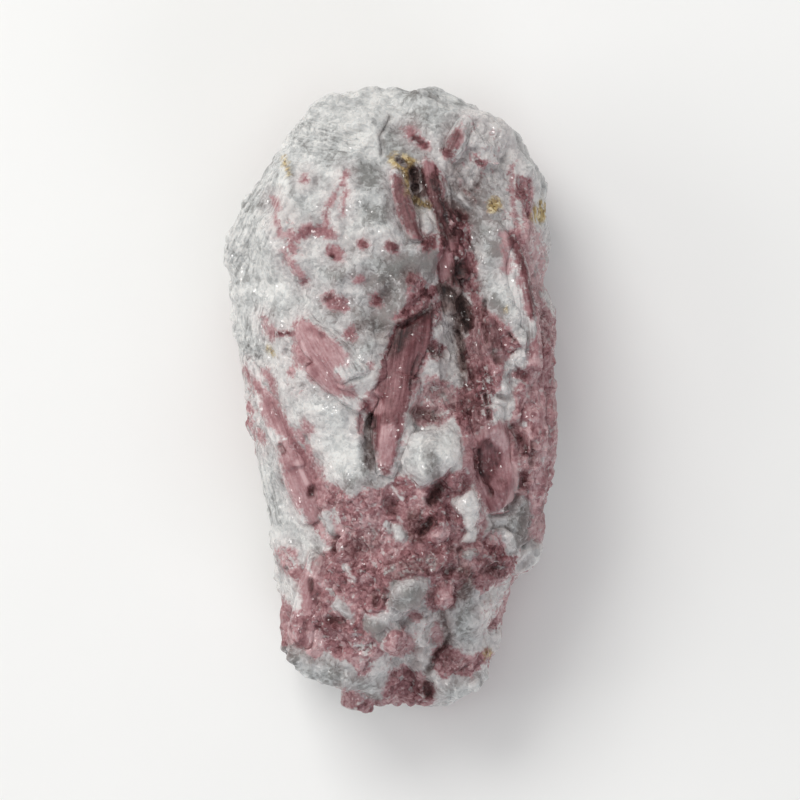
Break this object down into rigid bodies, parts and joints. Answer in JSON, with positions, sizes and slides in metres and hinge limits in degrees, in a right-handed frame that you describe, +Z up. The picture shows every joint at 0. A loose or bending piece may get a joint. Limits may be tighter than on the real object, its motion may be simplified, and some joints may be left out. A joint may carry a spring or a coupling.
{
  "type": "rubellite tourmaline specimen in matrix",
  "caption": "Oval hand specimen of white quartz and feldspar matrix with striated pink rubellite tourmaline prisms, lying on a flat resting face.",
  "frame": {"origin": "middle of the footprint's box, at the level of the flat resting face", "axes": "+Y along the stone's length towards its white head, +X across, +Z up out of the face that shows the crystals"},
  "size_m": [0.042, 0.0782, 0.0324],
  "materials": {
    "matrix": "broken white quartz and feldspar with granular pink masses and ochre stains, dull with small glints",
    "tourmaline": "rough striated pink to plum tourmaline, vitreous on its broken ends"
  },
  "bodies": {
    "root": {"matrix": "matrix", "rubellite_middle_column": "tourmaline", "rubellite_gully_prism": "tourmaline", "rubellite_cavity_needle": "tourmaline", "rubellite_right_flank_bundle": "tourmaline", "rubellite_left_flank_bundle": "tourmaline", "rubellite_left_plates": "tourmaline", "rubellite_shell": "tourmaline", "rubellite_inner_rod": "tourmaline", "rubellite_tail_column": "tourmaline", "rubellite_tail_end": "tourmaline", "rubellite_crown_rod": "tourmaline", "rubellite_under_left": "tourmaline", "rubellite_under_right": "tourmaline", "rubellite_round_stub": "tourmaline", "rubellite_pair_stub": "tourmaline"}
  },
  "joints": []
}
